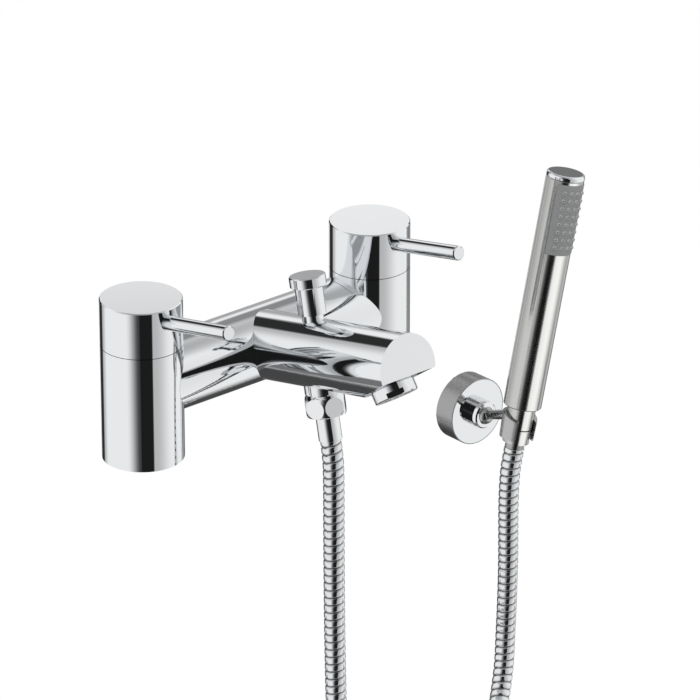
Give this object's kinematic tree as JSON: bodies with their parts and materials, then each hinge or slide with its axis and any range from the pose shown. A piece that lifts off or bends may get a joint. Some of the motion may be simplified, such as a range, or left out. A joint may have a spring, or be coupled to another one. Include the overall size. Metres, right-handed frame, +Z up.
{
  "type": "bath shower mixer",
  "caption": "Deck-mounted bath shower mixer with lever knobs, a sloping round spout, a pull-up diverter, a ribbed hose and a slim hand shower in a tilting wall holder.",
  "frame": {"origin": "on the deck, midway between the hot and cold inlets", "axes": "+X from the hot inlet to the cold inlet, -Y along the spout's plan direction, +Z up"},
  "size_m": [0.3661, 0.2012, 0.4155],
  "materials": {
    "chrome": "polished chrome plate on brass",
    "satin_chrome": "satin chrome plate on brass",
    "brass": "machined brass",
    "ceramic": "ground alumina ceramic",
    "rubber": "matt black rubber",
    "steel": "plain stainless steel",
    "hose": "bright wound steel strip",
    "plastic": "moulded white plastic",
    "silicone": "matt grey silicone"
  },
  "bodies": {
    "mixer": {"outlet_nipple": "chrome", "hot_pillar": "chrome", "cold_pillar": "chrome", "bridge": "chrome", "spout": "chrome", "diverter_guide": "chrome", "aerator_collar": "chrome", "hose_nut": "chrome", "mixer_ferrule": "chrome", "wall_plate": "chrome", "ball_collar": "chrome", "hot_valve_seat": "brass", "hot_valve_body": "brass", "cold_valve_seat": "brass", "cold_valve_body": "brass", "hot_fixed_disc": "ceramic", "cold_fixed_disc": "ceramic", "base_seals": "rubber", "hot_valve_seal": "rubber", "cold_valve_seal": "rubber", "aerator_washer": "rubber", "hose_washer": "rubber", "coil_tie": "rubber", "wall_backplate": "steel", "wall_screws": "steel", "hose_mixer_stretch": "hose", "hose_coil": "hose", "hose_handset_stretch": "hose", "aerator_insert": "plastic", "ball_seat": "plastic"},
    "hot_handle": {"hot_knob": "chrome", "hot_lever": "chrome", "hot_knob_screw": "steel", "hot_spindle": "brass", "hot_spindle_ring": "rubber", "hot_moving_disc": "ceramic"},
    "cold_handle": {"cold_knob": "chrome", "cold_lever": "chrome", "cold_knob_screw": "steel", "cold_spindle": "brass", "cold_spindle_ring": "rubber", "cold_moving_disc": "ceramic"},
    "diverter": {"diverter_knob": "chrome", "diverter_spindle": "brass", "diverter_ring": "rubber", "diverter_valve": "brass", "diverter_washer": "rubber"},
    "holder": {"holder_arm": "chrome"},
    "handset": {"handset_tube": "satin_chrome", "handset_cap": "chrome", "spray_pad": "silicone", "handset_waterway": "plastic", "handset_neck": "satin_chrome", "neck_seal": "rubber", "cone_nut": "satin_chrome", "handset_ferrule": "satin_chrome"}
  },
  "joints": [
    {"name": "hot_handle_turn", "type": "hinge", "parent": "mixer", "child": "hot_handle", "pos_m": [-0.09, 0, 0.088], "axis": [0, 0, 1], "range_deg": [-90, 0]},
    {"name": "cold_handle_turn", "type": "hinge", "parent": "mixer", "child": "cold_handle", "pos_m": [0.09, 0, 0.088], "axis": [0, 0, 1], "range_deg": [0, 90]},
    {"name": "diverter_pull", "type": "slide", "parent": "mixer", "child": "diverter", "axis": [0, 0.2079, 0.9781], "range_m": [0, 0.009]},
    {"name": "holder_tilt", "type": "hinge", "parent": "mixer", "child": "holder", "pos_m": [0.2101, 0.025, -0.0739], "axis": [1, 0, 0], "range_deg": [-15, 53], "deforming": ["hose_handset_stretch"]},
    {"name": "handset_lift", "type": "slide", "parent": "holder", "child": "handset", "axis": [0.1954, -0.0302, 0.9803], "range_m": [0, 0.04], "deforming": ["hose_handset_stretch"]}
  ]
}
